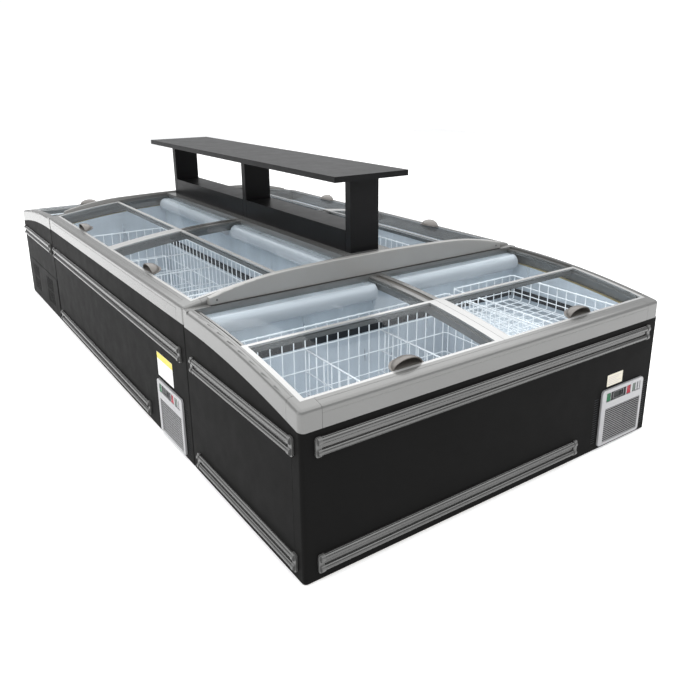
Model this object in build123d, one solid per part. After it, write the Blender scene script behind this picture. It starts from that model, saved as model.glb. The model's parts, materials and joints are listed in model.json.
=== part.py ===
from build123d import *
import os
from math import asin, cos, degrees, sin, sqrt

os.makedirs("parts", exist_ok=True)

# ------------------------------------------------------------------ driving sizes, millimetres
# Row frame: origin on the floor at the middle of the island, +Y along the island, +Z up.
island_width = 2040
end_depth = 980                      # customer's face to back, the two end cabinets
row_depth = island_width / 2         # the same for the two row cabinets, which stand back to back
row_length = 2500
island_length = row_length + 2 * end_depth

crown_radius = 5017                  # every curved top is an arc of this radius
crown_from_face = 950                # where the arc is highest, from the customer's face
end_crown = 781                      # height of that highest line
row_crown = 879

# Casing, foam and liner
sheet = 2
foam = 56
casing_corner = 16                   # rounding of the two front corners
wrap_depth = 18                      # how far the front sheet wraps around each end
foam_below = 86                      # top of the foam, below the crown surface
panel_seam_y = 62                    # open joint between the wrap and the end panel
skirt_gap = 6                        # from the floor to the casing's lower edge
base_height = 20                     # top of the feet
tank_floor = 150
step_length = 600                    # raised part of the tank, over the machine compartment
step_floor = 476
step_foam = 40
liner_back_gap = 14                  # room for the evaporator coil behind the liner

# Top frame
rim_height = 82
rim_joint = 0.05                     # play between the frame and what it sits on
frame_below = rim_height + rim_joint
front_rail_depth = 53
side_rail_width = 35
corner_cap = 90
corner_rounding = 22                 # upright edge of a corner cap
edge_rounding = 18                   # outer top edge of the rails and caps
seam = 1                             # open joint between a corner cap and its rails
face_bead_drop = 26                  # fine bead along the front rail's face
top_bead_y = 36                      # and another along its top
bead_radius = 2
mullion_width = 88
mullion_drop = 60                    # underside of the mullion, below the crown surface
track_gap = 15                       # half the width of the mullion's open track
track_width = 25                     # of a side track, with its inner strip
strip_width = 10
strip_top = 10.5                     # depths below the crown surface
track_floor = 16
pane_top = 18
pane_bottom = 22
ledge_bottom = 28
ledge_lip = 8

# Lids
lid_top = 2
lid_bottom = 10
lid_leg_bottom = 15.6
lid_glass_top = 4
lid_glass_bottom = 8
lid_clearance = 1                    # lid bar to fixed rail, on each side
lid_front = 55
lid_front_bar = 13
lid_back = 495
lid_back_bar = 18
lid_side_bar = 22
handle_width = 142
handle_depth = 58
handle_height = 40
handle_wall = 4
handle_flange = 8                    # base plate beyond the cup
handle_base = 3

# Outside fittings
bumper_height = 74
bumper_plate = 4
bumper_rib = 12                      # radius of each half-round rib
bumper_rib_inset = 16                # rib's middle, from the rail's edge
bumper_cap = 24
bumper_cap_plate = 8
upper_bumper_above_floor = 506
lower_bumper_above_floor = 36
bezel_width = 322
bezel_height = 294
bezel_above_floor = 18
bezel_thickness = 10
bezel_corner = 18
control_row_height = 46
control_row_above = 230              # from the bezel's lower edge
grille_left = 30                     # louvred grille, from the bezel's near and lower edges
grille_right = 304
grille_bottom = 16
grille_top = 194
louvre_count = 17
rocker_width = 30
power_rocker_x = 47                  # from the bezel's near edge
light_rocker_x = 204
control_windows = ((31, 63), (65, 183), (188, 220))
key_recess = (234, 298)              # shallow recess at the end of the control row
slot_columns = (-46, 336)            # either side of the bezel, from its near edge
slot_count = 20
slot_pitch = 12

# Baskets
wire_plate = 5                       # thickness of a wire wall
basket_clearance = 14
basket_from_back = 37
basket_rim = 628
shallow_basket_rim = 645
shallow_basket_floor = 496
divider_pitch = 450
divider_below_rim = 112
lamp_depth = 42                      # how far the lamp cover stands out from the back wall
lamp_height = 84
lamp_below_crown = 28

# Shelf
shelf_width = 451
shelf_length = 2520
shelf_thickness = 29
shelf_top = 1286
post_width = 176
post_thickness = 52
post_pitch = 1165
plinth_height = 112
arch_thickness = 28
arch_half_width = 905
arch_bottom = 783
arch_top = 888
arch_flat_half = 500                 # the middle of the arch is a flatter arc than its ends
arch_flat_radius = 13500
arch_end_radius = 1785


class Cabinet:
    """One freezer. In its own frame x runs along its face, y from the face to its back."""

    def __init__(self, name, length, depth, crown, tank_back, back_rail, bezel_from_end, place):
        self.name = name
        self.length = length
        self.depth = depth
        self.crown = crown
        self.tank_back = tank_back               # inner face of the tank's back wall
        self.back_rail = back_rail               # y where the back rail starts
        self.bezel_x = length - bezel_from_end - bezel_width
        self.middle = length / 2
        self.step_x = length - step_length       # the tank floor rises here
        self.is_end = depth == end_depth
        self.place = place

    def top(self, y, below=0):
        """Height of the crown surface, or of a surface parallel to it and below it."""
        across = crown_from_face - y
        return self.crown - crown_radius + sqrt((crown_radius - below) ** 2 - across ** 2)


end_size = (island_width, end_depth, end_crown, 887, 940, 70)
row_size = (row_length, row_depth, row_crown, 837, 875, 90)
half_turn = Rot(0, 0, 180)
front_end_place = Pos(-island_width / 2, -island_length / 2, 0)
left_row_place = Pos(-island_width / 2, row_length / 2, 0) * Rot(0, 0, -90)
cabinets = [
    Cabinet("front_end", *end_size, front_end_place),
    Cabinet("rear_end", *end_size, half_turn * front_end_place),
    Cabinet("left_row", *row_size, left_row_place),
    Cabinet("right_row", *row_size, half_turn * left_row_place),
]


# ------------------------------------------------------------------ shared shapes
def block(x0, x1, y0, y1, z0, z1):
    """Box from its low corner to its high corner."""
    return Pos((x0 + x1) / 2, (y0 + y1) / 2, (z0 + z1) / 2) * Box(x1 - x0, y1 - y0, z1 - z0)


def along_x(edges, x0, x1):
    """Solid bar from x0 to x1 with the section that the edges enclose, drawn in y and z."""
    section = Plane.YZ.offset(x0) * make_face(edges)
    return extrude(section, amount=x1 - x0, dir=(1, 0, 0))


def crown_arc(cab, y0, y1, below):
    """Stretch of the crown arc, at a depth below the crown surface."""
    middle = (y0 + y1) / 2
    stops = [(y, cab.top(y, below)) for y in (y0, middle, y1)]
    return ThreePointArc(*stops)


def curved_bar(cab, x0, x1, y0, y1, upper, lower):
    """Bar that follows the crown, between two depths below the crown surface."""
    edges = [
        crown_arc(cab, y0, y1, upper),
        Line((y1, cab.top(y1, upper)), (y1, cab.top(y1, lower))),
        crown_arc(cab, y0, y1, lower),
        Line((y0, cab.top(y0, lower)), (y0, cab.top(y0, upper))),
    ]
    return along_x(edges, x0, x1)


def curved_wall(cab, x0, x1, y0, y1, z0, below):
    """Upright wall with a level foot and a top edge that follows the crown."""
    edges = [
        crown_arc(cab, y0, y1, below),
        Line((y1, cab.top(y1, below)), (y1, z0)),
        Line((y1, z0), (y0, z0)),
        Line((y0, z0), (y0, cab.top(y0, below))),
    ]
    return along_x(edges, x0, x1)


def save(node, shapes):
    """Write one node's solids, already in the row frame, to their file."""
    solids = [solid for shape in shapes for solid in shape.solids()]
    export_step(Compound(label=node, children=solids), f"parts/{node}.step")


def placed(cab, shapes):
    return [cab.place * shape for shape in shapes]


# ------------------------------------------------------------------ casing, foam and liner
def slot_column(x, y, z0, count, pitch, width, height):
    """Vent slots one above the other, as cutters through a front sheet."""
    return [block(x, x + width, y - 1, y + sheet + 1, z0 + i * pitch, z0 + i * pitch + height)
            for i in range(count)]


def wrap(cab, inset, depth, z0, below):
    """Slab behind the customer's face, with its two front corners rounded."""
    slab = curved_wall(cab, inset, cab.length - inset, inset, depth, z0, below)
    uprights = slab.edges().filter_by(Axis.Z).group_by(Axis.Y)[0]
    return fillet(uprights, casing_corner - inset)


def front_panel(cab):
    outer = wrap(cab, 0, wrap_depth, skirt_gap, frame_below)
    inner = wrap(cab, sheet, wrap_depth + 1, skirt_gap - 1, frame_below - 1)
    cutters = []
    for offset in slot_columns:
        cutters += slot_column(cab.bezel_x + offset, 0, 44, slot_count, slot_pitch, 32, 5)
    x0, z0 = cab.bezel_x, bezel_above_floor
    row = z0 + control_row_above
    grille = block(x0 + grille_left, x0 + grille_right, -1, sheet + 1, z0 + grille_bottom, z0 + grille_top)
    cutters.append(grille)
    for near, far in control_windows:
        cutters.append(block(x0 + near, x0 + far, -1, sheet + 1, row, row + control_row_height))
    return outer - inner - cutters


def end_panels(cab):
    """The two end walls, and the vented access panel on the machine compartment's end."""
    z0 = skirt_gap
    walls = []
    for y0, y1 in ((wrap_depth, panel_seam_y), (panel_seam_y + seam, cab.depth - sheet)):
        walls.append(curved_wall(cab, 0, sheet, y0, y1, z0, frame_below))
    right = curved_wall(cab, cab.length - sheet, cab.length, wrap_depth, cab.depth - sheet, z0, frame_below)
    if not cab.is_end:
        return walls + [right]
    vents = []
    for y0 in (150, 620):
        for i in range(14):
            y = y0 + i * 15
            vents.append(block(cab.length - sheet - 1, cab.length + 5, y, y + 6, 74, 172))
            vents.append(block(cab.length - sheet - 1, cab.length + 5, y, y + 6, 180, 278))
    access = block(cab.length, cab.length + sheet, 20, cab.depth - 12, 20, 317)
    return walls + [right - vents, access - vents]


def casing(cab):
    back_top = cab.top(cab.depth) - frame_below
    back = block(0, cab.length, cab.depth - sheet, cab.depth, skirt_gap, back_top)
    pan = block(sheet, cab.length - sheet, wrap_depth, cab.depth - sheet, base_height, base_height + sheet)
    return [front_panel(cab), back, pan] + end_panels(cab)


def insulation(cab):
    """Foam blocks between the casing and the liner."""
    low = base_height + sheet
    wall = sheet + foam                                   # outer face of the liner
    floor = tank_floor - sheet
    shelf = step_floor - sheet
    room = cab.step_x + step_foam                         # near wall of the machine compartment
    far = cab.length - sheet
    back = cab.tank_back + sheet + liner_back_gap
    rear = cab.depth - sheet
    front_top = cab.top(0) - foam_below
    back_top = cab.top(back) - foam_below
    compartment_top = shelf - step_foam
    near_front = block(sheet, room, sheet, wall, low, front_top)
    far_front = block(room, far, sheet, wall, compartment_top, front_top)
    near_corner = near_front.edges().filter_by(Axis.Z).group_by(Axis.X)[0].sort_by(Axis.Y)[0]
    far_corner = far_front.edges().filter_by(Axis.Z).group_by(Axis.X)[-1].sort_by(Axis.Y)[0]
    return [
        fillet(near_corner, casing_corner - sheet),
        fillet(far_corner, casing_corner - sheet),
        block(sheet, room, back, rear, low, back_top),
        block(room, far, back, rear, compartment_top, back_top),
        curved_wall(cab, sheet, wall, wall, back, low, foam_below),
        curved_wall(cab, cab.length - wall, far, wall, back, compartment_top, foam_below),
        block(wall, room, wall, back, low, floor),
        block(cab.step_x + sheet, room, wall, back, floor, shelf),
        block(room, cab.length - wall, wall, back, compartment_top, shelf),
    ]


def liner(cab):
    """Sheet walls of the tank: a deep floor, a step up, and four walls."""
    near = sheet + foam
    inner = near + sheet
    step = cab.step_x
    far = cab.length - near
    back = cab.tank_back
    low, high = tank_floor, step_floor
    front_top = cab.top(inner) - frame_below
    back_top = cab.top(back) - ledge_bottom - 4
    rail = cab.back_rail - 1
    beam = mullion(cab)[0]
    return [
        block(near, step, near, back + sheet, low - sheet, low),
        block(step, step + sheet, near, back + sheet, low - sheet, high - sheet),
        block(step, far, near, back + sheet, high - sheet, high),
        curved_wall(cab, near, inner, inner, back, low, frame_below),
        curved_wall(cab, far - sheet, far, inner, back, high, frame_below),
        block(near, step, near, inner, low, front_top),
        block(step, far, near, inner, high, front_top),
        block(near, step, back, back + sheet, low, back_top) - beam,
        block(step, far, back, back + sheet, high, back_top) - beam,
        block(near, far, back + sheet, rail, back_top - sheet, back_top) - beam,
    ]


# ------------------------------------------------------------------ top frame
def bead(x0, x1, y, z):
    """Fine raised line along x."""
    return Pos((x0 + x1) / 2, y, z) * Rot(0, 90, 0) * Cylinder(bead_radius, x1 - x0)


def front_rail(cab, x0, x1):
    """Rail with a large rounding towards the customer and two beads along it."""
    rail = curved_bar(cab, x0, x1, 0, front_rail_depth, 0, rim_height)
    face_edges = rail.edges().filter_by(Axis.X).group_by(Axis.Y)[0].sort_by(Axis.Z)
    rail = fillet(face_edges[-1], edge_rounding)
    rail += bead(x0, x1, bead_radius / 2, cab.top(0) - face_bead_drop)
    return rail + bead(x0, x1, top_bead_y, cab.top(top_bead_y) - bead_radius / 2)


def side_rail(cab, y0, y1):
    rail = curved_bar(cab, 0, side_rail_width, y0, y1, 0, rim_height)
    outer = rail.edges().group_by(Axis.X)[0]
    rail = fillet(outer.sort_by(Axis.Z)[-1], edge_rounding)
    return rail + curved_bar(cab, 24, 27, y0, y1, -1, 1)


def corner(cab):
    """Moulded cap over the left front corner, rounded like the rails beside it."""
    far = corner_cap - seam
    slab = curved_bar(cab, 0, far, 0, far, 0, rim_height)
    upright = slab.edges().filter_by(Axis.Z).sort_by(lambda e: e.center().X + e.center().Y)[0]
    slab = fillet(upright, corner_rounding)
    crest = slab.faces().sort_by(Axis.Z)[-1]
    rim = [e for e in crest.edges() if e.center().X < far - 1 and e.center().Y < far - 1]
    slab = fillet(rim, edge_rounding)
    return slab - curved_bar(cab, side_rail_width, far + 1, front_rail_depth, far + 1, -1, rim_height + 1)


def track(cab, left, right, y0, y1):
    """Open channel floor, inner strip and the lip under the rear pane, on a lid's outer side."""
    inner = right - strip_width
    return [
        curved_bar(cab, left, inner, y0, y1, track_floor, ledge_bottom),
        curved_bar(cab, inner, right, y0, y1, strip_top, ledge_bottom),
        curved_bar(cab, right, right + ledge_lip, y0, y1, pane_bottom, ledge_bottom),
    ]


def mirrored(cab, shapes):
    """The same shapes on the other end of the cabinet."""
    return [mirror(shape, Plane.YZ.offset(cab.middle)) for shape in shapes]


def mullion(cab):
    half = mullion_width / 2
    y0 = front_rail_depth
    y1 = cab.back_rail
    middle = cab.middle
    beam = curved_bar(cab, middle - half, middle + half, y0, y1, track_floor, mullion_drop)
    strip = curved_bar(cab, middle - half, middle - track_gap, y0, y1, strip_top, track_floor)
    lip = curved_bar(cab, middle - half - ledge_lip, middle - half, y0, y1, pane_bottom, ledge_bottom)
    return [beam, strip, lip] + mirrored(cab, [strip, lip])


def mid_rail(cab):
    """Rail under the front edge of each fixed pane."""
    x0 = side_rail_width + track_width + ledge_lip
    x1 = cab.middle - mullion_width / 2 - ledge_lip
    rail = curved_bar(cab, x0, x1, 474, 490, track_floor, 34)
    return [rail] + mirrored(cab, [rail])


def top_frame(cab):
    end = corner_cap
    rails = [side_rail(cab, end, cab.back_rail), corner(cab)]
    rails += track(cab, side_rail_width, side_rail_width + track_width, end, cab.back_rail)
    rails += mirrored(cab, rails)
    rails.append(front_rail(cab, end, cab.length - end))
    rails.append(curved_bar(cab, 0, cab.length, cab.back_rail, cab.depth, 0, rim_height))
    return rails + mullion(cab) + mid_rail(cab)


# ------------------------------------------------------------------ lids and fixed panes
def lid_span(cab, side):
    """Outer edges of the lid on one side, as x values."""
    span = (side_rail_width + lid_clearance, cab.middle - lid_clearance)
    return span if side == "left" else (cab.length - span[1], cab.length - span[0])


def glass_span(cab, side):
    """Side edges of that lid's glass, as x values."""
    span = (side_rail_width + lid_clearance + lid_side_bar, cab.middle - mullion_width / 2)
    return span if side == "left" else (cab.length - span[1], cab.length - span[0])


def lid_opening(cab, side, upper, lower):
    """The part of the lid inside its four bars, between two depths."""
    x0, x1 = glass_span(cab, side)
    return curved_bar(cab, x0, x1, lid_front + lid_front_bar, lid_back - lid_back_bar, upper, lower)


def lid_frame(cab, side):
    x0, x1 = lid_span(cab, side)
    plate = curved_bar(cab, x0, x1, lid_front, lid_back, lid_top, lid_bottom)
    leg = track_gap - 2 * lid_clearance
    legs = [
        curved_bar(cab, x0, x0 + leg, lid_front + 40, lid_back, lid_bottom - 1, lid_leg_bottom),
        curved_bar(cab, x1 - leg, x1, lid_front + 40, lid_back, lid_bottom - 1, lid_leg_bottom),
    ]
    return plate - lid_opening(cab, side, lid_top - 1, lid_bottom + 1) + legs


def lid_glass(cab, side):
    return lid_opening(cab, side, lid_glass_top, lid_glass_bottom)


def lid_handle(cab, side):
    """Cup pull: a hollow quarter dome, open towards the customer, on a thin oval base."""
    radii = (handle_width / 2, handle_depth, handle_height)
    dome = scale(Sphere(1), by=radii)
    hollow = scale(Sphere(1), by=tuple(radius - handle_wall for radius in radii))
    behind = block(-handle_width, handle_width, 0, handle_width, 0, handle_width)
    oval = extrude(Ellipse(radii[0] + handle_flange, radii[1] + handle_flange), amount=handle_base)
    y = lid_front + lid_front_bar + 2
    slope = degrees(asin((crown_from_face - y) / crown_radius))
    middle = sum(glass_span(cab, side)) / 2
    seat = Pos(middle, y, cab.top(y, lid_glass_top)) * Rot(slope, 0, 0)
    return seat * (((dome - hollow) & behind) + (oval & behind))


def rear_panes(cab):
    x0 = side_rail_width + track_width + 0.5
    x1 = cab.middle - mullion_width / 2 - 0.5
    pane = curved_bar(cab, x0, x1, 490, cab.back_rail, pane_top, pane_bottom)
    return [pane] + mirrored(cab, [pane])


# ------------------------------------------------------------------ baskets and lamp
def wire_walls(x0, x1, y0, y1, z0, z1, cross=()):
    """One basket as its floor, four walls and any cross dividers."""
    t = wire_plate
    shapes = [
        block(x0, x1, y0, y1, z0, z0 + t),
        block(x0, x1, y0, y0 + t, z0 + t, z1),
        block(x0, x1, y1 - t, y1, z0 + t, z1),
        block(x0, x0 + t, y0 + t, y1 - t, z0 + t, z1),
        block(x1 - t, x1, y0 + t, y1 - t, z0 + t, z1),
    ]
    shapes += [block(x, x + t, y0 + t, y1 - t, z0 + t, z1 - divider_below_rim) for x in cross]
    return shapes


def baskets(cab):
    near = 2 * sheet + foam + basket_clearance
    deep_end = cab.step_x - basket_clearance
    dividers = []
    x = deep_end - divider_pitch
    while x > near + divider_pitch / 2:
        dividers.append(x)
        x -= divider_pitch
    back = cab.tank_back - basket_from_back
    deep = wire_walls(near, deep_end, near, back, tank_floor + 12, basket_rim, dividers)
    far = cab.length - near - 36
    high = wire_walls(cab.step_x + basket_clearance, far, near, back,
                      shallow_basket_floor, shallow_basket_rim)
    rests = []
    for x0, x1, z0, z1 in ((near, deep_end, tank_floor, tank_floor + 12),
                           (cab.step_x + basket_clearance, far, step_floor, shallow_basket_floor)):
        for y in (near + 60, back - 60):
            rests.append(block(x0 + 20, x1 - 20, y, y + 6, z0, z1))
    return deep + high + rests


def lamps(cab):
    """Rounded light cover along the top of the back wall, on each side of the mullion."""
    x0 = side_rail_width + track_width + 2 * ledge_lip
    x1 = cab.middle - mullion_width / 2 - 2 * ledge_lip
    z1 = cab.top(cab.tank_back) - lamp_below_crown
    z0 = z1 - lamp_height
    y = cab.tank_back
    edges = [
        Line((y, z1), (y - 6, z1)),
        ThreePointArc((y - 6, z1), (y - lamp_depth, z1 - 34), (y - 16, z0)),
        Line((y - 16, z0), (y, z0)),
        Line((y, z0), (y, z1)),
    ]
    lamp = along_x(edges, x0, x1)
    return [lamp] + mirrored(cab, [lamp])


# ------------------------------------------------------------------ outside fittings
def bumper(start, stop, z):
    """Double-ribbed rail on a face at y = 0, with the two end caps."""
    x0, x1 = start + bumper_cap, stop - bumper_cap
    heights = (z + bumper_rib_inset, z + bumper_height - bumper_rib_inset)
    rail = block(x0, x1, -bumper_plate, 0, z, z + bumper_height)
    rail += block(x0, x1, -bumper_plate - 3, 0, z + bumper_height - 3, z + bumper_height)
    for height in heights:
        rail += half_rib(x0, x1, height, bumper_rib)
    caps = [end_cap(start, x0, start + 8, x0, z, heights), end_cap(x1, stop, x1, stop - 8, z, heights)]
    return rail, caps


def half_rib(x0, x1, z, radius):
    """Half-round rib that stands on the bumper's plate."""
    rib = Pos((x0 + x1) / 2, -bumper_plate, z) * Rot(0, 90, 0) * Cylinder(radius, x1 - x0)
    return rib & block(x0, x1, -bumper_plate - radius, 0, z - radius, z + radius)


def end_cap(x0, x1, nub_x0, nub_x1, z, heights):
    """Plate with rounded corners, and a short nub that closes each rib."""
    plate = block(x0, x1, -bumper_cap_plate, 0, z - 1, z + bumper_height + 1)
    outer = x0 if nub_x0 > x0 else x1
    corners = plate.edges().filter_by(Axis.Y).filter_by(lambda e: abs(e.center().X - outer) < 0.1)
    cap = fillet(corners, 9)
    for height in heights:
        cap += half_rib(nub_x0, nub_x1, height, bumper_rib + 2)
    return cap


def bumpers(cab):
    """Rails and caps on the faces that customers' trolleys reach."""
    upper, lower = upper_bumper_above_floor, lower_bumper_above_floor
    lower_stop = cab.bezel_x - 160
    runs = [(Pos(0, 0, 0), bumper(56, cab.length - 66, upper)),
            (Pos(0, 0, 0), bumper(58, lower_stop, lower))]
    if cab.is_end:
        left = Pos(0, cab.depth, 0) * Rot(0, 0, -90)
        right = Pos(cab.length, 0, 0) * Rot(0, 0, 90)
        runs += [(left, bumper(56, cab.depth - 45, height)) for height in (upper, lower)]
        runs.append((right, bumper(56, cab.depth - 54, upper)))
    rails = [seat * run[0] for seat, run in runs]
    caps = [seat * cap for seat, run in runs for cap in run[1]]
    return rails, caps


def bezel(cab):
    """Rounded panel with a louvred grille and the windows for the controls."""
    x0, z0 = cab.bezel_x, bezel_above_floor
    front = -bezel_thickness
    plate = block(x0, x0 + bezel_width, front, 0, z0, z0 + bezel_height)
    plate = fillet(plate.edges().filter_by(Axis.Y), bezel_corner)
    plate = chamfer(plate.faces().sort_by(Axis.Y)[0].edges(), 2)
    row = z0 + control_row_above
    cutters = [block(x0 + grille_left, x0 + grille_right, front - 1, 1, z0 + grille_bottom, z0 + grille_top)]
    for near, far in control_windows:
        cutters.append(block(x0 + near, x0 + far, front - 1, 1, row, row + control_row_height))
    near, far = key_recess
    cutters.append(block(x0 + near, x0 + far, front - 1, front + 6, row, row + control_row_height))
    plate -= cutters
    pitch = (grille_top - grille_bottom) / louvre_count
    slat = Rot(35, 0, 0) * Box(grille_right - grille_left + 1, 7, 1.6)
    middle = x0 + (grille_left + grille_right) / 2
    for i in range(louvre_count):
        plate += Pos(middle, front / 2, z0 + grille_bottom + (i + 0.5) * pitch) * slat
    return [plate]


def thermostat(cab):
    x0 = cab.bezel_x + control_windows[1][0] + 1
    x1 = cab.bezel_x + control_windows[1][1] - 1
    z0 = bezel_above_floor + control_row_above + 1
    body = block(x0, x1, -bezel_thickness + 2, 40, z0, z0 + control_row_height - 2)
    window = block(x0 + 18, x0 + 97, -bezel_thickness - 1, -bezel_thickness + 4, z0 + 5, z0 + 39)
    return [body - window]


def rocker_seat(cab, offset):
    """Pivot of a rocker switch, from the bezel's near edge."""
    z = bezel_above_floor + control_row_above + control_row_height / 2
    return Pos(cab.bezel_x + offset, 0, z)


def rocker(cab, offset):
    """Rocker with two shallow slopes, resting with its upper half pushed in."""
    half = control_row_height / 2 - 4
    edges = Polyline((-9, half), (-7, 0), (-9, -half), (8, -10), (8, 10), (-9, half))
    body = along_x(edges.edges(), -rocker_width / 2, rocker_width / 2)
    return rocker_seat(cab, offset) * Rot(-7, 0, 0) * body


# ------------------------------------------------------------------ machine compartment
def compressor(cab):
    x, y, z = cab.bezel_x + bezel_width / 2, 480, base_height + sheet
    plate = block(x - 110, x + 110, y - 80, y + 80, z + 14, z + 18)
    grommets = [Pos(x + i * 90, y + j * 60, z + 7) * Cylinder(11, 14) for i in (-1, 1) for j in (-1, 1)]
    shell = Pos(x, y, z + 18 + 85) * Cylinder(78, 170)
    shell = fillet(shell.edges().filter_by(GeomType.CIRCLE), 40)
    return [plate + shell] + grommets


def condenser(cab):
    """Finned block behind the grille, with its bent tube ends."""
    x, y0, z0 = cab.bezel_x + bezel_width / 2, 66, base_height + sheet
    core = block(x - 125, x + 125, y0, y0 + 44, z0 + 4, z0 + 200)
    ends = [block(x + s * 126 - 1, x + s * 126 + 1, y0 - 4, y0 + 48, z0, z0 + 206) for s in (-1, 1)]
    bends = []
    for i in range(4):
        for side in (-1, 1):
            tube = Torus(11, 4.5) & Pos(side * 20, 0, 0) * Box(40, 80, 20)
            bends.append(Pos(x + side * 127, y0 + 22, z0 + 30 + i * 46) * Rot(90, 0, 0) * tube)
    return [core] + ends + bends


def fan_centre(cab):
    return cab.bezel_x + bezel_width / 2, 150, 128


def fan_motor(cab):
    """Motor behind the fan, on an arm that stands on the bottom pan."""
    x, y, z = fan_centre(cab)
    motor = Pos(x, y + 42, z) * Rot(90, 0, 0) * Cylinder(28, 44)
    arm = block(x - 40, x + 40, y + 58, y + 62, base_height + sheet, z)
    foot = block(x - 40, x + 40, y + 40, y + 62, base_height + sheet, base_height + sheet + 4)
    return [motor + arm + foot]


def fan(cab):
    """Five-bladed fan that pulls air through the condenser."""
    x, y, z = fan_centre(cab)
    hub = Rot(90, 0, 0) * Cylinder(22, 26)
    blade = Pos(52, 0, 0) * Rot(32, 0, 0) * Box(66, 34, 2.4)
    wheel = hub
    for i in range(5):
        wheel += Rot(0, 72 * i, 0) * blade
    return Pos(x, y, z) * wheel


def evaporator(cab):
    """Serpentine tube between the liner's back wall and the foam."""
    radius = 4.5
    pitch = 58
    y = cab.tank_back + sheet + liner_back_gap / 2
    x0, x1 = 2 * foam, cab.step_x - foam
    points = []
    for i in range(8):
        z = tank_floor + 40 + i * pitch
        ends = [(x0, y, z), (x1, y, z)]
        points += ends if i % 2 == 0 else ends[::-1]
    path = FilletPolyline(*points, radius=pitch * 0.4)
    section = Plane(origin=path @ 0, z_dir=path % 0) * Circle(radius)
    return [sweep(section, path=path)]


def feet(cab):
    """Six screw feet under the bottom pan."""
    inset = 70
    columns = (inset, cab.middle, cab.length - inset)
    foot = Pos(0, 0, 4) * Cylinder(22, 8) + Pos(0, 0, base_height / 2) * Cylinder(6, base_height)
    return [Pos(x, y, 0) * foot for x in columns for y in (inset, cab.depth - inset)]


# ------------------------------------------------------------------ shelf and arch plates
def arch_plate():
    """Cover over the step in height, with a flatter middle and rounder shoulders."""
    flat_drop = arch_flat_radius - sqrt(arch_flat_radius ** 2 - arch_flat_half ** 2)
    lean = asin(arch_flat_half / arch_flat_radius)
    shoulder = (arch_flat_half, arch_top - flat_drop)
    centre = (shoulder[0] - arch_end_radius * sin(lean), shoulder[1] - arch_end_radius * cos(lean))

    def on_shoulder(x):
        return x, centre[1] + sqrt(arch_end_radius ** 2 - (x - centre[0]) ** 2)

    middle = on_shoulder((arch_flat_half + arch_half_width) / 2)
    tip = on_shoulder(arch_half_width)
    flip = lambda point: (-point[0], point[1])
    edges = [
        ThreePointArc(flip(shoulder), (0, arch_top), shoulder),
        ThreePointArc(shoulder, middle, tip),
        Line(tip, (arch_half_width, arch_bottom)),
        Line((arch_half_width, arch_bottom), (-arch_half_width, arch_bottom)),
        Line((-arch_half_width, arch_bottom), flip(tip)),
        ThreePointArc(flip(tip), flip(middle), flip(shoulder)),
    ]
    y = row_length / 2
    face = Plane.XZ.offset(y) * make_face(edges)
    plate = extrude(face, amount=arch_thickness, dir=(0, -1, 0))
    rim = plate.edges().group_by(Axis.Y)[0].filter_by(lambda e: e.center().Z > arch_bottom + 20)
    return fillet(rim, 5)


def shelf_board():
    low = shelf_top - shelf_thickness
    board = block(-shelf_width / 2, shelf_width / 2, -shelf_length / 2, shelf_length / 2, low, shelf_top)
    return fillet(board.edges().filter_by(Axis.Z), 6)


def shelf_frame():
    """Plinth beam along the middle of the row, and the posts that carry the board."""
    half = post_width / 2
    foot = row_crown
    posts = []
    for i in (-1, 0, 1):
        y = i * post_pitch
        post = block(-half, half, y - post_thickness / 2, y + post_thickness / 2, foot,
                     shelf_top - shelf_thickness)
        posts.append(fillet(post.edges().filter_by(Axis.Z), 5))
    gap = post_thickness / 2
    beams = [block(-half, half, y0, y1, foot, foot + plinth_height)
             for y0, y1 in ((-post_pitch + gap, -gap), (gap, post_pitch - gap))]
    return posts + beams


# ------------------------------------------------------------------ write every node
def write_moving(cab):
    for side in ("left", "right"):
        lid = f"{cab.name}_{side}_lid"
        save(f"{lid}_frame", placed(cab, [lid_frame(cab, side)]))
        save(f"{lid}_glass", placed(cab, [lid_glass(cab, side)]))
        save(f"{lid}_handle", placed(cab, [lid_handle(cab, side)]))
    save(f"{cab.name}_power_rocker", placed(cab, [rocker(cab, power_rocker_x)]))
    save(f"{cab.name}_light_rocker", placed(cab, [rocker(cab, light_rocker_x)]))
    save(f"{cab.name}_condenser_fan", placed(cab, [fan(cab)]))


def write_joined(node, maker):
    """One node that holds the same piece of all four cabinets."""
    save(node, [shape for cab in cabinets for shape in placed(cab, maker(cab))])


for cabinet in cabinets:
    save(f"{cabinet.name}_outer_casing", placed(cabinet, casing(cabinet)))
    save(f"{cabinet.name}_top_frame", placed(cabinet, top_frame(cabinet)))
    write_moving(cabinet)

write_joined("foam_insulation", insulation)
write_joined("tank_liners", liner)
write_joined("rear_glass_panes", rear_panes)
write_joined("wire_baskets", baskets)
write_joined("tank_lamps", lamps)
write_joined("bumper_rails", lambda cab: bumpers(cab)[0])
write_joined("bumper_end_caps", lambda cab: bumpers(cab)[1])
write_joined("control_bezels", bezel)
write_joined("thermostats", thermostat)
write_joined("compressors", compressor)
write_joined("condensers", lambda cab: condenser(cab) + fan_motor(cab))
write_joined("evaporator_coils", evaporator)
write_joined("levelling_feet", feet)

front_arch = arch_plate()
save("arch_plates", [front_arch, half_turn * front_arch])
save("shelf_board", [shelf_board()])
save("shelf_frame", shelf_frame())
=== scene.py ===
import json
import math

import bmesh
import bpy
from mathutils import Matrix, Vector


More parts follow.
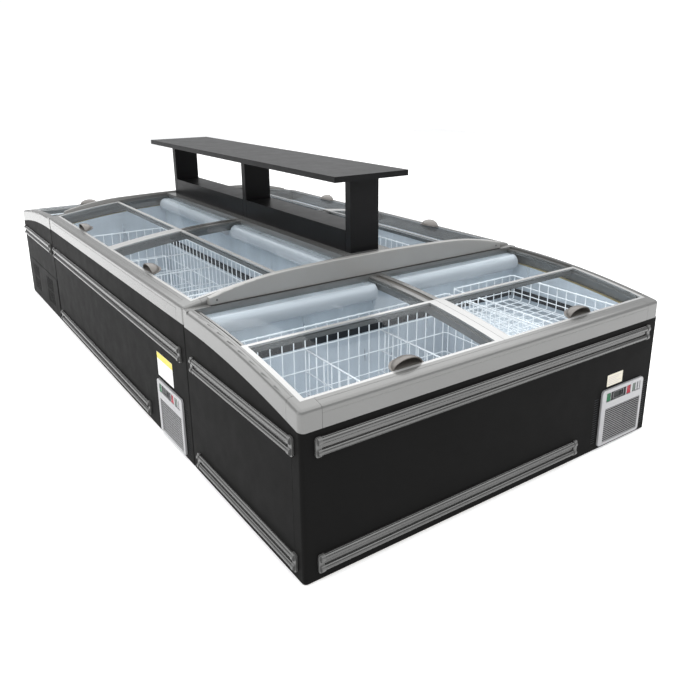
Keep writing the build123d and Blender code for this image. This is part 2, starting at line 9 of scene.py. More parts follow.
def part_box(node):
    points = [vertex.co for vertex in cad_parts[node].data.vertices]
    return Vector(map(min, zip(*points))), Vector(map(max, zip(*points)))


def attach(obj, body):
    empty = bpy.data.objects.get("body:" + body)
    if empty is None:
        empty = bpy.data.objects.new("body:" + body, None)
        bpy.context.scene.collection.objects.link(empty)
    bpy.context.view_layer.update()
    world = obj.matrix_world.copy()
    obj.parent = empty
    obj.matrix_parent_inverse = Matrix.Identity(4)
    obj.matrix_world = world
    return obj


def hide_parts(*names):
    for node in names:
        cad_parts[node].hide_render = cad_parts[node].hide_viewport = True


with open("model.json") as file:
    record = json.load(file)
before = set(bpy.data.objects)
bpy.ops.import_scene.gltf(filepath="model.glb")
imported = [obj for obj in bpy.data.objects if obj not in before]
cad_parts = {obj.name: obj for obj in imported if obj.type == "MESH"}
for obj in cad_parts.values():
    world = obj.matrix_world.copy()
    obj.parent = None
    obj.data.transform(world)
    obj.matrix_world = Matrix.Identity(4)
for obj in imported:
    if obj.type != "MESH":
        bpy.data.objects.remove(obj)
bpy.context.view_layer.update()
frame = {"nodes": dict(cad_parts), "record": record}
record = frame["record"]
ROOT = "island"

# ------------------------------------------------------------------ camera
CAMERA_PLACE = (-2.058, -4.032, 1.750)
CAMERA_YAW = -34.91                  # degrees from +Y towards +X, negative to the right
CAMERA_PITCH = -17.22
CAMERA_ROLL = -0.33
SENSOR = 36.0
FOCAL = 37.02
CAMERA_SHIFT = (-0.0196, -0.0719)


def make_camera():
    data = bpy.data.cameras.new("camera")
    data.sensor_width = SENSOR
    data.lens = FOCAL
    data.shift_x, data.shift_y = CAMERA_SHIFT
    data.dof.use_dof = False
    camera = bpy.data.objects.new("camera", data)
    turn = (Matrix.Rotation(math.radians(CAMERA_YAW), 4, "Z")
            @ Matrix.Rotation(math.radians(90 + CAMERA_PITCH), 4, "X")
            @ Matrix.Rotation(math.radians(CAMERA_ROLL), 4, "Z"))
    camera.matrix_world = Matrix.Translation(CAMERA_PLACE) @ turn
    bpy.context.collection.objects.link(camera)
    bpy.context.scene.camera = camera


make_camera()


# ------------------------------------------------------------------ materials
def new_material(name):
    material = bpy.data.materials.new(name)
    material.use_nodes = True
    tree = material.node_tree
    tree.nodes.clear()
    return material, tree


def node(tree, kind, inputs=None, **settings):
    """A node with its settings and its input values or links."""
    made = tree.nodes.new(kind)
    for key, value in settings.items():
        setattr(made, key, value)
    for key, value in (inputs or {}).items():
        if isinstance(value, bpy.types.NodeSocket):
            tree.links.new(value, made.inputs[key])
        else:
            made.inputs[key].default_value = value
    return made


def object_coords(tree, stretch=(1, 1, 1)):
    coords = node(tree, "ShaderNodeTexCoord")
    mapping = node(tree, "ShaderNodeMapping", {"Vector": coords.outputs["Object"], "Scale": stretch})
    return mapping.outputs["Vector"]


def noise(tree, scale, detail=3.0, stretch=(1, 1, 1), rough=0.5):
    made = node(tree, "ShaderNodeTexNoise", {"Vector": object_coords(tree, stretch), "Scale": scale,
                                             "Detail": detail, "Roughness": rough})
    return made.outputs["Fac"]


def remap(tree, value, low, high):
    made = node(tree, "ShaderNodeMapRange", {"Value": value, "From Min": 0.3, "From Max": 0.7,
                                             "To Min": low, "To Max": high})
    return made.outputs["Result"]


def shade(colour, factor):
    return tuple(min(1.0, c * factor) for c in colour[:3]) + (1.0,)


def two_tone(tree, value, colour, spread):
    """Colour that drifts either side of its mean."""
    made = node(tree, "ShaderNodeMix", data_type="RGBA")
    tree.links.new(value, made.inputs["Factor"])
    made.inputs["A"].default_value = shade(colour, 1 - spread)
    made.inputs["B"].default_value = shade(colour, 1 + spread)
    return made.outputs["Result"]


SLAT_BASE = 0.034                    # foot of the grille above the floor
SLAT_COUNT = 17
GRILLE_HEIGHT = 0.178
SLAT_PITCH = GRILLE_HEIGHT / SLAT_COUNT
SLAT_SLOPE = (0.76, 0.9)             # range of the upward normal on a slat's top face


def painted_slat_shade(tree, tone, dark):
    """Painted shade on the inner half of each louvre slat's top face: darker stripes, one per row, that
    stand for the shade between the slats.
    """
    geometry = node(tree, "ShaderNodeNewGeometry")
    parts = node(tree, "ShaderNodeSeparateXYZ", {"Vector": geometry.outputs["Normal"]})
    steep = node(tree, "ShaderNodeMath", {0: parts.outputs["Z"], 1: SLAT_SLOPE[0]}, operation="GREATER_THAN")
    flat = node(tree, "ShaderNodeMath", {0: parts.outputs["Z"], 1: SLAT_SLOPE[1]}, operation="LESS_THAN")
    slope = node(tree, "ShaderNodeMath", {0: steep.outputs["Value"], 1: flat.outputs["Value"]},
                 operation="MULTIPLY")
    place = node(tree, "ShaderNodeSeparateXYZ", {"Vector": object_coords(tree)})
    lift = node(tree, "ShaderNodeMath", {0: place.outputs["Z"], 1: SLAT_BASE}, operation="SUBTRACT")
    step = node(tree, "ShaderNodeMath", {0: lift.outputs["Value"], 1: SLAT_PITCH}, operation="DIVIDE")
    part = node(tree, "ShaderNodeMath", {0: step.outputs["Value"]}, operation="FRACT")
    inner = node(tree, "ShaderNodeMath", {0: part.outputs["Value"], 1: 0.5}, operation="GREATER_THAN")
    both = node(tree, "ShaderNodeMath", {0: slope.outputs["Value"], 1: inner.outputs["Value"]},
                operation="MULTIPLY")
    made = node(tree, "ShaderNodeMix", data_type="RGBA")
    tree.links.new(both.outputs["Value"], made.inputs["Factor"])
    tree.links.new(tone, made.inputs["A"])
    made.inputs["B"].default_value = dark
    return made.outputs["Result"]


def finish(name, colour, rough, metallic=0.0, spread=0.06, drift=3.0, grain=220.0, grain_height=0.00004,
           stretch=(1, 1, 1), coat=0.0, specular=0.5, glow=None, slat_shade=None):
    """Solid surface: slow colour drift, uneven gloss and a fine grain."""
    material, tree = new_material(name)
    slow = noise(tree, drift, 4.0)
    fine = noise(tree, grain, 2.0, stretch)
    wipe = noise(tree, drift * 4, 5.0, rough=0.65)
    bump = node(tree, "ShaderNodeBump", {"Height": fine, "Distance": grain_height, "Strength": 1.0})
    tone = two_tone(tree, remap(tree, slow, 0.0, 1.0), colour, spread)
    # slat_shade paints darker shade stripes onto the louvre slats
    if slat_shade:
        tone = painted_slat_shade(tree, tone, shade(colour, slat_shade))
    shader = node(tree, "ShaderNodeBsdfPrincipled", {
        "Base Color": tone,
        "Roughness": remap(tree, wipe, rough[0], rough[1]),
        "Metallic": metallic, "Coat Weight": coat, "Coat Roughness": 0.12,
        "Specular IOR Level": specular, "Normal": bump.outputs["Normal"]})
    if glow:
        shader.inputs["Emission Color"].default_value = shade(glow[0], 1.0)
        shader.inputs["Emission Strength"].default_value = glow[1]
    out = node(tree, "ShaderNodeOutputMaterial", {"Surface": shader.outputs["BSDF"]})
    out.is_active_output = True
    return material


def clear_glass(name, tint):
    """Thin clear pane with faint wipe marks and a sheen that grows at flat viewing angles."""
    material, tree = new_material(name)
    wipe = noise(tree, 5.0, 5.0, (1, 1, 1), 0.6)
    clear = node(tree, "ShaderNodeBsdfTransparent", {
        "Color": two_tone(tree, remap(tree, wipe, 0.0, 1.0), tint, 0.015)})
    mirror = node(tree, "ShaderNodeBsdfGlossy", {"Color": (1, 1, 1, 1),
                                                 "Roughness": remap(tree, wipe, 0.015, 0.06)})
    facing = node(tree, "ShaderNodeLayerWeight", {"Blend": 0.5})
    steep = node(tree, "ShaderNodeMath", {0: facing.outputs["Facing"], 1: 5.0}, operation="POWER")
    share = node(tree, "ShaderNodeMapRange", {"Value": steep.outputs["Value"], "To Min": 0.010,
                                              "To Max": 0.15})
    mix = node(tree, "ShaderNodeMixShader", {0: share.outputs["Result"], 1: clear.outputs["BSDF"],
                                             2: mirror.outputs["BSDF"]})
    node(tree, "ShaderNodeOutputMaterial", {"Surface": mix.outputs["Shader"]})
    return material


def liner_metal(name):
    """Embossed aluminium sheet with a cool tint and soft streaks down the walls; in the colour the streaks
    are painted reflection, in the roughness real changes of gloss.
    """
    material, tree = new_material(name)
    colour = (0.64, 0.685, 0.73)
    streaks = noise(tree, 9.0, 4.0, (1.0, 1.0, 0.12), 0.6)
    cells = node(tree, "ShaderNodeTexVoronoi", {"Vector": object_coords(tree), "Scale": 160.0},
                 feature="SMOOTH_F1")
    bump = node(tree, "ShaderNodeBump", {"Height": cells.outputs["Distance"], "Distance": 0.0006,
                                         "Strength": 0.6})
    shader = node(tree, "ShaderNodeBsdfPrincipled", {
        # Colour streaks: painted reflection; roughness streaks: real gloss changes.
        "Base Color": two_tone(tree, remap(tree, streaks, 0.0, 1.0), colour, 0.10),
        "Roughness": remap(tree, streaks, 0.26, 0.42), "Metallic": 0.45,
        "Normal": bump.outputs["Normal"]})
    node(tree, "ShaderNodeOutputMaterial", {"Surface": shader.outputs["BSDF"]})
    return material


M = {
    "casing_paint": finish("casing_paint", (0.0072, 0.0071, 0.0070), (0.50, 0.58), spread=0.05,
                           grain=420.0, grain_height=0.00002, specular=0.035),
    "frame_silver": finish("frame_silver", (0.185, 0.185, 0.181), (0.20, 0.24), 0.35, 0.02,
                           grain=300.0, grain_height=0.000001, coat=0.3),
    "lid_frame": finish("lid_frame", (0.46, 0.46, 0.455), (0.20, 0.24), 0.3, 0.02,
                        grain=300.0, grain_height=0.000001, coat=0.3),
    "lid_glass": clear_glass("lid_glass", (0.955, 0.970, 0.978)),
    "rear_glass": clear_glass("rear_glass", (0.94, 0.96, 0.97)),
    "handle_taupe": finish("handle_taupe", (0.150, 0.139, 0.128), (0.30, 0.40), 0.1, 0.05, coat=0.2),
    "power_rocker": finish("power_rocker", (0.003, 0.12, 0.042), (0.2, 0.3), spread=0.08, specular=0.25),
    "light_rocker": finish("light_rocker", (0.33, 0.004, 0.022), (0.2, 0.3), spread=0.08, specular=0.25),
    "fan_plastic": finish("fan_plastic", (0.02, 0.02, 0.02), (0.5, 0.6)),
    "foam": finish("foam", (0.62, 0.52, 0.28), (0.8, 0.95), grain=350.0, grain_height=0.0006),
    "liner": liner_metal("liner"),
    # The wires glow faintly: painted light that brightens them, as they are no lamp.
    "wire_white": finish("wire_white", (0.90, 0.92, 0.94), (0.20, 0.30), spread=0.02, coat=0.4,
                         glow=((0.95, 0.98, 1.0), 0.12)),
    # The diffuser's faint glow is painted light that lifts the cover's tone to a light blue-grey.
    "lamp_diffuser": finish("lamp_diffuser", (0.45, 0.47, 0.50), (0.16, 0.26), spread=0.05, coat=0.5,
                            glow=((0.85, 0.93, 1.0), 0.06)),
    "bumper_grey": finish("bumper_grey", (0.13, 0.13, 0.128), (0.17, 0.24), 0.85, 0.05,
                          grain=400.0, stretch=(0.04, 0.04, 1.0), grain_height=0.00002),
    "bumper_cap": finish("bumper_cap", (0.12, 0.12, 0.118), (0.26, 0.36), 0.3, 0.05, coat=0.2),
    # The bezel's louvre slats carry painted shade stripes (slat_shade).
    "bezel_silver": finish("bezel_silver", (0.40, 0.40, 0.41), (0.28, 0.40), 0.2, 0.03, coat=0.2,
                           slat_shade=0.04),
    "thermostat_black": finish("thermostat_black", (0.005, 0.005, 0.006), (0.3, 0.4), specular=0.12),
    "compressor_black": finish("compressor_black", (0.015, 0.015, 0.016), (0.35, 0.5)),
    "condenser_metal": finish("condenser_metal", (0.16, 0.16, 0.16), (0.35, 0.5), 0.8,
                              grain=500.0, stretch=(1, 1, 0.02), grain_height=0.0005),
    "copper_tube": finish("copper_tube", (0.62, 0.30, 0.17), (0.25, 0.4), 0.9),
    "foot_rubber": finish("foot_rubber", (0.015, 0.015, 0.015), (0.7, 0.85)),
    "arch_taupe": finish("arch_taupe", (0.34, 0.335, 0.325), (0.28, 0.36), 0.2, 0.03,
                         grain=300.0, grain_height=0.000001, coat=0.15),
    "shelf_black": finish("shelf_black", (0.0075, 0.0075, 0.008), (0.30, 0.36), spread=0.08,
                          grain=300.0, grain_height=0.00005, specular=0.12, coat=0.01),
}

SLOT_OF = {sub["node"]: sub["material_slot"] for sub in record["subparts"]}
for name, obj in frame["nodes"].items():
    obj.data.materials.clear()
    obj.data.materials.append(M[SLOT_OF[name]])


# ------------------------------------------------------------------ cabinets
class Cabinet:
    """One freezer's own frame: x along its face, y from the face to its back, metres."""

    def __init__(self, name, turn):
        low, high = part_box(f"{name}_top_frame")
        self.name = name
        size = [high[i] - low[i] for i in range(3)]
        self.length, self.depth = (size[0], size[1]) if turn % 180 == 0 else (size[1], size[0])
        centre = Vector(((low[0] + high[0]) / 2, (low[1] + high[1]) / 2, 0))
        self.place = (Matrix.Translation(centre) @ Matrix.Rotation(math.radians(turn), 4, "Z")
                      @ Matrix.Translation((-self.length / 2, -self.depth / 2, 0)))
        self.crown = high[2]
        slide = next(j for j in record["behaviour"]["joints"] if j["name"] == f"{name}_left_lid_slide")
        axis = self.place.inverted() @ Vector(slide["pos_m"])
        self.crown_y = axis.y
        self.radius = self.crown - axis.z
        self.is_end = name.endswith("end")

    def local(self, point):
        return self.place.inverted() @ Vector(point)

    def top(self, y, below=0.0):
        return self.crown - self.radius + math.sqrt((self.radius - below) ** 2 - (self.crown_y - y) ** 2)

    def local_box(self, low, high):
        """A box of the row frame as low and high corners in the cabinet's frame."""
        a, b = self.local(low), self.local(high)
        return (Vector([min(a[i], b[i]) for i in range(3)]), Vector([max(a[i], b[i]) for i in range(3)]))

    def openings(self, word):
        found = []
        for opening in record["physics"]["openings"]:
            if opening["name"].startswith(self.name) and word in opening["name"]:
                found.append(self.local_box(*opening["box_m"]))
        return sorted(found, key=lambda box: box[0].x)

    def node_box(self, suffix):
        return self.local_box(*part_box(f"{self.name}_{suffix}"))


CABINETS = [Cabinet("front_end", 0), Cabinet("rear_end", 180), Cabinet("left_row", -90),
            Cabinet("right_row", 90)]


# ------------------------------------------------------------------ mesh building
class Shape:
    """Collects vertices and faces, then becomes one object."""

    def __init__(self):
        self.verts = []
        self.faces = []

    def tube(self, points, radius, sides=8, closed=False):
        """Round wire along a polyline, closed into a ring or with flat ends."""
        points = [Vector(p) for p in points]
        count = len(points)
        start = len(self.verts)
        last = None
        for i, point in enumerate(points):
            if closed:
                along = (points[(i + 1) % count] - points[i - 1]).normalized()
            else:
                along = (points[min(i + 1, count - 1)] - points[max(i - 1, 0)]).normalized()
            if last is None:
                side = along.cross(Vector((0.31, 0.17, 0.93)))
                if side.length < 0.2:
                    side = along.cross(Vector((1, 0, 0)))
            else:
                side = last - along * last.dot(along)
            side.normalize()
            last = side
            other = along.cross(side)
            for k in range(sides):
                angle = 2 * math.pi * k / sides
                self.verts.append(point + radius * (side * math.cos(angle) + other * math.sin(angle)))
        rings = count if closed else count - 1
        for i in range(rings):
            a = start + i * sides
            b = start + ((i + 1) % count) * sides
            for k in range(sides):
                n = (k + 1) % sides
                self.faces.append((a + k, a + n, b + n, b + k))
        if not closed:
            self.faces.append(tuple(start + k for k in reversed(range(sides))))
            end = start + (count - 1) * sides
            self.faces.append(tuple(end + k for k in range(sides)))

    def prism(self, outline, depth_axis, low, high):
        """Plate with the given outline, between two values along an axis (0, 1 or 2)."""
        start = len(self.verts)
        others = [i for i in range(3) if i != depth_axis]
        for value in (low, high):
            for a, b in outline:
                point = [0.0, 0.0, 0.0]
                point[depth_axis] = value
                point[others[0]], point[others[1]] = a, b
                self.verts.append(Vector(point))
        n = len(outline)
        self.faces.append(tuple(start + i for i in range(n)))
        self.faces.append(tuple(start + n + i for i in reversed(range(n))))
        for i in range(n):
            j = (i + 1) % n
            self.faces.append((start + i, start + n + i, start + n + j, start + j))

    def arched(self, cab, x0, x1, y0, y1, upper, lower, steps=28):
        """Strip that follows the crown of a cabinet, between two depths below it."""
        start = len(self.verts)
        for i in range(steps + 1):
            y = y0 + (y1 - y0) * i / steps
            for x, below in ((x0, upper), (x1, upper), (x1, lower), (x0, lower)):
                self.verts.append(Vector((x, y, cab.top(y, below))))
        for i in range(steps):
            a = start + 4 * i
            for k in range(4):
                n = (k + 1) % 4
                self.faces.append((a + k, a + n, a + 4 + n, a + 4 + k))
        end = start + 4 * steps
        self.faces += [tuple(start + k for k in range(4)), tuple(end + 3 - k for k in range(4))]

    def make(self, name, place, slot, body, material=None, smooth=None, bevel=None):
        mesh = bpy.data.meshes.new(name)
        mesh.from_pydata([place @ v for v in self.verts], [], self.faces)
        work = bmesh.new()
        work.from_mesh(mesh)
        bmesh.ops.recalc_face_normals(work, faces=work.faces)
        work.to_mesh(mesh)
        work.free()
        if smooth:
            mesh.shade_smooth()
        obj = bpy.data.objects.new(name, mesh)
        bpy.context.collection.objects.link(obj)
        if bevel:
            cut = obj.modifiers.new("bevel", "BEVEL")
            cut.width = bevel
            cut.segments = 3
            cut.limit_method = "ANGLE"
        obj.data.materials.append(material or M[slot])
        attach(obj, body)
        return obj


def rounded_outline(x0, x1, y0, y1, radius, steps=6):
    """Rectangle with round corners, as a list of points."""
    points = []
    for cx, cy, first in ((x1 - radius, y1 - radius, 0), (x0 + radius, y1 - radius, 90),
                          (x0 + radius, y0 + radius, 180), (x1 - radius, y0 + radius, 270)):
        for i in range(steps + 1):
            angle = math.radians(first + 90 * i / steps)
            points.append((cx + radius * math.cos(angle), cy + radius * math.sin(angle)))
    return points


def evenly(start, stop, pitch):
    """Positions from start to stop at about that pitch, both ends included."""
    count = max(1, round((stop - start) / pitch))
    return [start + (stop - start) * i / count for i in range(count + 1)]


# ------------------------------------------------------------------ wire baskets
WIRE = 0.0027
RIM_WIRE = 0.0040
MESH_PITCH = 0.063
RING_PITCH = 0.11                    # between the level wires of a deep basket or divider
BEND = 0.018
BAY_MARGIN = 0.0105                  # from an opening's box to the wires' centre line


def u_wire(low, high, floor, rim, turn):
    """Wire down one wall, across the floor and up the other; turn maps (along, z) to a point."""
    points = [turn(low, rim)]
    for centre, first in ((low + BEND, 180), (high - BEND, 270)):
        for i in range(4):
            angle = math.radians(first + 30 * i)
            points.append(turn(centre + BEND * math.cos(angle), floor + BEND + BEND * math.sin(angle)))
    points.append(turn(high, rim))
    return points


def basket(shape, low, high, floor, rim, ring_heights, over=0.004):
    x0, y0 = low
    x1, y1 = high
    for x in evenly(x0 + 0.02, x1 - 0.02, MESH_PITCH):
        shape.tube(u_wire(y0, y1, floor, rim + over, lambda a, z, x=x: (x, a, z)), WIRE)
    for y in evenly(y0 + 0.02, y1 - 0.02, MESH_PITCH):
        shape.tube(u_wire(x0, x1, floor + 2 * WIRE, rim + over, lambda a, z, y=y: (a, y, z)), WIRE)
    for z in ring_heights:
        wire = RIM_WIRE if z == ring_heights[0] else WIRE
        grow = WIRE + wire
        ring = rounded_outline(x0 + grow, x1 - grow, y0 + grow, y1 - grow, BEND)
        shape.tube([(a, b, z) for a, b in ring], wire, closed=True)


def divider(shape, x, y0, y1, floor, top):
    """Upright grid across the basket."""
    for z in evenly(floor + 0.012, top, RING_PITCH):
        wire = RIM_WIRE if abs(z - top) < 1e-6 else WIRE
        shape.tube([(x, y0 + 0.004, z), (x, y1 - 0.004, z)], wire)
    for y in evenly(y0 + 0.03, y1 - 0.03, MESH_PITCH):
        shape.tube([(x + 2 * WIRE, y, floor + 0.008), (x + 2 * WIRE, y, top)], WIRE)


def make_baskets(cab):
    shape = Shape()
    bays = cab.openings("deep_bay")
    low = (bays[0][0].x - BAY_MARGIN, bays[0][0].y - BAY_MARGIN)
    high = (bays[-1][1].x + BAY_MARGIN, bays[0][1].y + BAY_MARGIN)
    floor = bays[0][0].z - BAY_MARGIN
    rim = bays[0][1].z + 0.026
    basket(shape, low, high, floor, rim, [rim - RING_PITCH * i for i in range(5)])
    for left, right in zip(bays, bays[1:]):
        divider(shape, (left[1].x + right[0].x) / 2, low[1], high[1], floor, rim - 0.112)
    shallow = cab.openings("shallow_basket")[0]
    low = (shallow[0].x - BAY_MARGIN, shallow[0].y - BAY_MARGIN)
    high = (shallow[1].x + BAY_MARGIN, shallow[1].y + BAY_MARGIN)
    floor = shallow[0].z - BAY_MARGIN
    rim = shallow[1].z + 0.013
    basket(shape, low, high, floor, rim, [rim - 0.047 * i for i in range(4)])
    return shape.make(f"{cab.name}_wires", cab.place, "wire_white", ROOT, smooth=True)


basket_pieces = [make_baskets(cab) for cab in CABINETS]
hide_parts("wire_baskets")


# ------------------------------------------------------------------ tank details
# Near-black fill: the dark band on the tank walls, the plates behind the casing's slots and the key slot.
M["air_slot"] = finish("air_slot", (0.006, 0.008, 0.012), (0.5, 0.7), spread=0.2)


def make_wall_bands(cab):
    """Dark strip along the back wall and round onto the end wall."""
    shallow = cab.openings("shallow_basket")[0]
    z0, z1 = shallow[0].z - 0.004, shallow[0].z + 0.040
    lamp_y = cab.openings("deep_bay")[0][1].y + 0.050
    near = cab.openings("deep_bay")[0][0].x - 0.030
    far = cab.length - 0.060
    shape = Shape()
    edges = evenly(near + 0.01, far - 0.01, 0.5)
    for a, b in zip(edges, edges[1:]):
        shape.prism(rounded_outline(a + 0.0015, b - 0.0015, z0, z1, 0.003, 2), 1, lamp_y - 0.0035, lamp_y)
    shape.prism(rounded_outline(shallow[0].y, lamp_y - 0.01, z0, z1, 0.004, 2), 0, far - 0.0035, far)
    return shape.make(f"{cab.name}_air_slots", cab.place, "thermostat_black", ROOT, M["air_slot"])


# ------------------------------------------------------------------ top frame details
# Dark colour for the floors of the lid tracks.
M["track_floor_dark"] = finish("track_floor_dark", (0.052, 0.047, 0.040), (0.45, 0.6), spread=0.08)
RAIL_WIDTH = 0.035                   # side rail
TRACK = 0.015                        # open channel beside it, and half of the mullion's
TRACK_DEPTH = 0.016
STRIP_RISE = 0.0002
GAP = 0.0005                         # clear space beside a track strip


def make_track_strips(cab):
    """Dark strips on the floors of the lid tracks."""
    back = cab.node_box("top_frame")[1].y - (0.042 if cab.is_end else 0.147)
    shape = Shape()
    middle = cab.length / 2
    for x0, x1 in ((RAIL_WIDTH + GAP, RAIL_WIDTH + TRACK - GAP),
                   (middle - TRACK + GAP, middle + TRACK - GAP),
                   (cab.length - RAIL_WIDTH - TRACK + GAP, cab.length - RAIL_WIDTH - GAP)):
        shape.arched(cab, x0, x1, 0.095, back, TRACK_DEPTH - STRIP_RISE, TRACK_DEPTH + 0.0005)
    shape.make(f"{cab.name}_glides", cab.place, "thermostat_black", ROOT, M["track_floor_dark"])


def make_arch_trim(cab):
    """Dark strip under the arch plate, painted shade for the shadow gap there, and a screw near each of its
    ends.
    """
    low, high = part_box("arch_plates")
    half = (high[0] - low[0]) / 2
    front = cab.depth - 0.028
    # Painted shade: a dark strip fills the gap under the arch plate.
    shade_strip = Shape()
    shade_strip.arched(cab, cab.length / 2 - half + 0.004, cab.length / 2 + half - 0.004,
                  front - 0.009, front + 0.020, -0.0019, 0.0005, 6)
    shade_strip.make(f"{cab.name}_arch_gasket", cab.place, "foot_rubber", ROOT)
    screws = Shape()
    for side in (-1, 1):
        x = cab.length / 2 + side * (half - 0.035)
        z = cab.crown + 0.020
        screws.tube([(x, front + 0.002, z), (x, front - 0.0015, z)], 0.005, 12)
    screws.make(f"{cab.name}_arch_screws", cab.place, "condenser_metal", ROOT, bevel=0.0006)


# ------------------------------------------------------------------ controls and labels
M["display"] = finish("display", (0.006, 0.010, 0.009), (0.25, 0.32), spread=0.15, specular=0.15)
M["button"] = finish("button", (0.04, 0.04, 0.042), (0.35, 0.5), specular=0.2)
M["trim_ring"] = finish("trim_ring", (0.28, 0.28, 0.29), (0.2, 0.3), 0.5)
M["dark_green"] = finish("dark_green", (0.006, 0.050, 0.024), (0.15, 0.25), spread=0.1, coat=0.4)
M["label_cream"] = finish("label_cream", (0.70, 0.66, 0.54), (0.35, 0.45), spread=0.03)
M["label_white"] = finish("label_white", (0.80, 0.80, 0.80), (0.3, 0.4), spread=0.02)
M["label_yellow"] = finish("label_yellow", (0.72, 0.60, 0.03), (0.3, 0.4), spread=0.04)
M["label_rule"] = finish("label_rule", (0.52, 0.47, 0.50), (0.4, 0.5), spread=0.06)
SKIN = 0.0003                        # thickness of a label
POWER_ROCKER_X = 0.047               # middle of the power rocker, from the near edge of its bezel
SLOT_COLUMNS = (("left", -0.030), ("right", 0.352))


def plate(cab, name, x0, x1, z0, z1, y, thick, radius, slot, material, bevel=None):
    """Thin upright plate whose back is at y, standing out towards the customer."""
    shape = Shape()
    shape.prism(rounded_outline(x0, x1, z0, z1, radius, 4), 1, y - thick, y)
    return shape.make(f"{cab.name}_{name}", cab.place, slot, ROOT, M[material], bevel=bevel)


def make_controls(cab):
    """Thermostat display and buttons, pilot lamp, key plates, and dark plates behind the slots, painted
    shade for the space behind them.
    """
    low, high = cab.node_box("power_rocker")
    x, z = (low.x + high.x) / 2, (low.z + high.z) / 2
    bezel = x - POWER_ROCKER_X
    recess = -0.006
    plate(cab, "display", bezel + 0.088, bezel + 0.132, z - 0.011, z + 0.013, recess, 0.0012, 0.002,
          "thermostat_black", "display", 0.0003)
    buttons = Shape()
    for i in range(3):
        foot = z - 0.012 + 0.010 * i
        dot = rounded_outline(bezel + 0.140, bezel + 0.154, foot, z - 0.006 + 0.010 * i, 0.002, 3)
        buttons.prism(dot, 1, recess - 0.0022, recess)
    buttons.make(f"{cab.name}_buttons", cab.place, "thermostat_black", ROOT, M["button"], bevel=0.0004)
    ring = Shape()
    outline = rounded_outline(bezel + 0.0845, bezel + 0.1625, z - 0.0165, z + 0.0165, 0.003, 4)
    ring.tube([(a, recess - 0.0016, b) for a, b in outline], 0.0014, 6, closed=True)
    ring.make(f"{cab.name}_thermostat_ring", cab.place, "condenser_metal", ROOT, M["trim_ring"], smooth=True)
    plate(cab, "pilot_lamp", bezel + 0.236, bezel + 0.256, z - 0.020, z + 0.020, -0.004, 0.003, 0.002,
          "power_rocker", "dark_green", 0.0008)
    # Near-black plates behind the slot columns: painted shade for the dark space behind the slots.
    for side, offset in SLOT_COLUMNS:
        middle = bezel + offset
        plate(cab, f"{side}_slot_screen", middle - 0.018, middle + 0.018, 0.040, 0.280, 0.0036, 0.0012,
              0.002, "thermostat_black", "air_slot")
    key = Shape()
    for near, far in ((0.262, 0.274), (0.282, 0.294)):
        outline = rounded_outline(bezel + near, bezel + far, z - 0.021, z + 0.021, 0.002, 3)
        key.prism(outline, 1, -0.0075, -0.004)
    key.make(f"{cab.name}_key_plates", cab.place, "bezel_silver", ROOT, M["bezel_silver"], bevel=0.0008)
    plate(cab, "key_slot", bezel + 0.2745, bezel + 0.2815, z - 0.020, z + 0.020, -0.004, 0.001, 0.001,
          "thermostat_black", "air_slot")


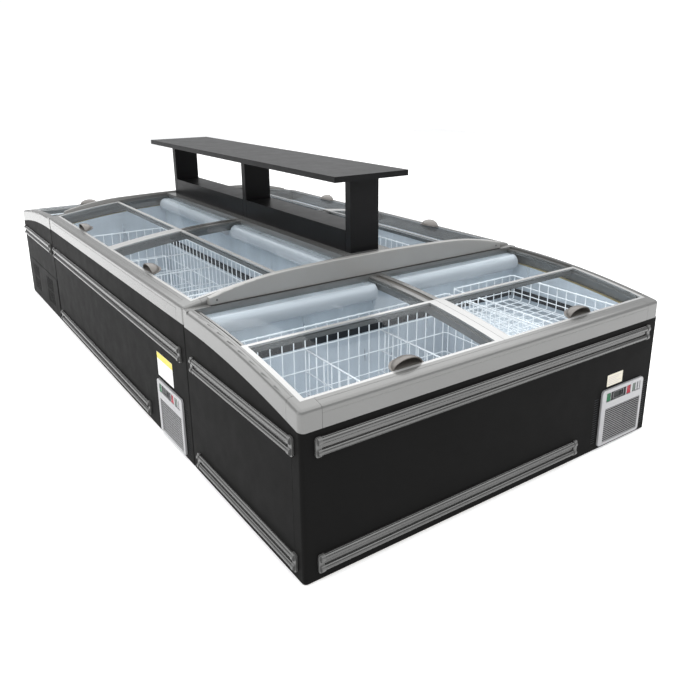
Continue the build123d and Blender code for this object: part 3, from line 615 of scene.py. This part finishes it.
def make_label(cab):
    """Blank sticker above the control panel, with plain rules in place of any print."""
    low, high = cab.node_box("power_rocker")
    bezel = (low.x + high.x) / 2 - POWER_ROCKER_X
    rules = Shape()
    if cab.is_end:
        x0, x1, z0, z1 = bezel + 0.034, bezel + 0.152, 0.325, 0.384
        plate(cab, "label", x0, x1, z0, z1, 0.0, SKIN, 0.002, "bezel_silver", "label_cream")
        heights = [z1 - 0.012 - 0.009 * i for i in range(5)]
    else:
        x0, x1, z0, z1 = bezel + 0.012, bezel + 0.216, 0.330, 0.456
        plate(cab, "label", x0, x1, z0, z1, 0.0, SKIN, 0.002, "bezel_silver", "label_white")
        plate(cab, "label_header", x0 + 0.001, x1 - 0.001, z1 - 0.034, z1 - 0.001, -SKIN, SKIN, 0.001,
              "bezel_silver", "label_yellow")
        heights = [z1 - 0.046 - 0.011 * i for i in range(7)]
    for i, z in enumerate(heights):
        stop = x1 - 0.012 - 0.018 * (i % 3)
        rules.prism([(x0 + 0.010, z - 0.0022), (stop, z - 0.0022), (stop, z), (x0 + 0.010, z)], 1,
                    -2 * SKIN, -SKIN)
    rules.make(f"{cab.name}_label_rules", cab.place, "bezel_silver", ROOT, M["label_rule"])


for cab in CABINETS:
    make_wall_bands(cab)
    make_track_strips(cab)
    make_controls(cab)
    make_label(cab)
    if cab.is_end:
        make_arch_trim(cab)


# ------------------------------------------------------------------ floor and light
def make_floor():
    mesh = bpy.data.meshes.new("floor")
    size = 14.0
    mesh.from_pydata([(-size, -size, 0), (size, -size, 0), (size, size, 0), (-size, size, 0)], [],
                     [(0, 1, 2, 3)])
    floor = bpy.data.objects.new("floor", mesh)
    bpy.context.collection.objects.link(floor)
    floor.data.materials.append(finish("floor_pale", (0.80, 0.80, 0.80), (0.5, 0.6), spread=0.01,
                                       drift=0.6, glow=((1.0, 1.0, 1.0), 0.45)))


def area_light(name, place, target, size, power, colour=(1, 1, 1)):
    data = bpy.data.lights.new(name, "AREA")
    data.shape = "RECTANGLE"
    data.size, data.size_y = size
    data.energy = power
    data.color = colour
    light = bpy.data.objects.new(name, data)
    look = (Vector(target) - Vector(place)).to_track_quat("-Z", "Y")
    light.matrix_world = Matrix.Translation(place) @ look.to_matrix().to_4x4()
    bpy.context.collection.objects.link(light)


def make_light():
    world = bpy.data.worlds.new("studio")
    world.use_nodes = True
    tree = world.node_tree
    background = tree.nodes["Background"]
    background.inputs["Color"].default_value = (0.98, 0.99, 1.0, 1.0)
    seen = node(tree, "ShaderNodeLightPath")
    strength = node(tree, "ShaderNodeMapRange", {"Value": seen.outputs["Is Camera Ray"], "To Min": 0.58,
                                                 "To Max": 1.05})
    tree.links.new(strength.outputs["Result"], background.inputs["Strength"])
    bpy.context.scene.world = world
    bpy.context.scene.view_settings.view_transform = "Standard"
    area_light("overhead", (0.5, 1.5, 6.5), (0.5, 1.5, 0), (16.0, 20.0), 1600)
    area_light("left_fill", (-6.5, -1.0, 2.4), (0, 0, 0.6), (4.0, 1.6), 50)


make_floor()
make_light()
